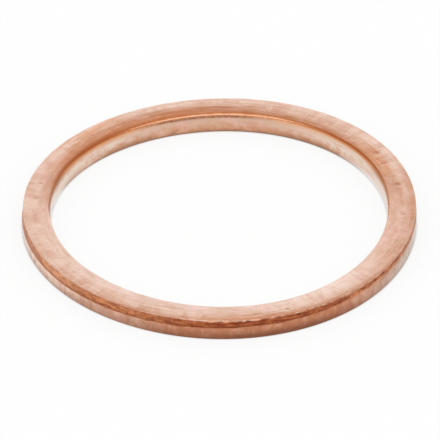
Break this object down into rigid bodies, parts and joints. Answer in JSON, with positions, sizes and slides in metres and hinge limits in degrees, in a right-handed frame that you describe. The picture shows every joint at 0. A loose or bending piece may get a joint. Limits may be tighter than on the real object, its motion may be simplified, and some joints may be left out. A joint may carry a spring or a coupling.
{
  "type": "sealing ring",
  "caption": "Flat round copper sealing ring with a plain bore, a slightly crowned top face and a flat base.",
  "frame": {"origin": "on the ring's axis, at the flat base", "axes": "+Z along the ring's axis, from the base to the crowned top face"},
  "size_m": [0.0388, 0.0388, 0.0021],
  "materials": {
    "copper": "satin annealed copper, brighter on its top face, rough and darker along the upper edge of the rim"
  },
  "bodies": {
    "root": {"sealing_ring": "copper"}
  },
  "joints": []
}
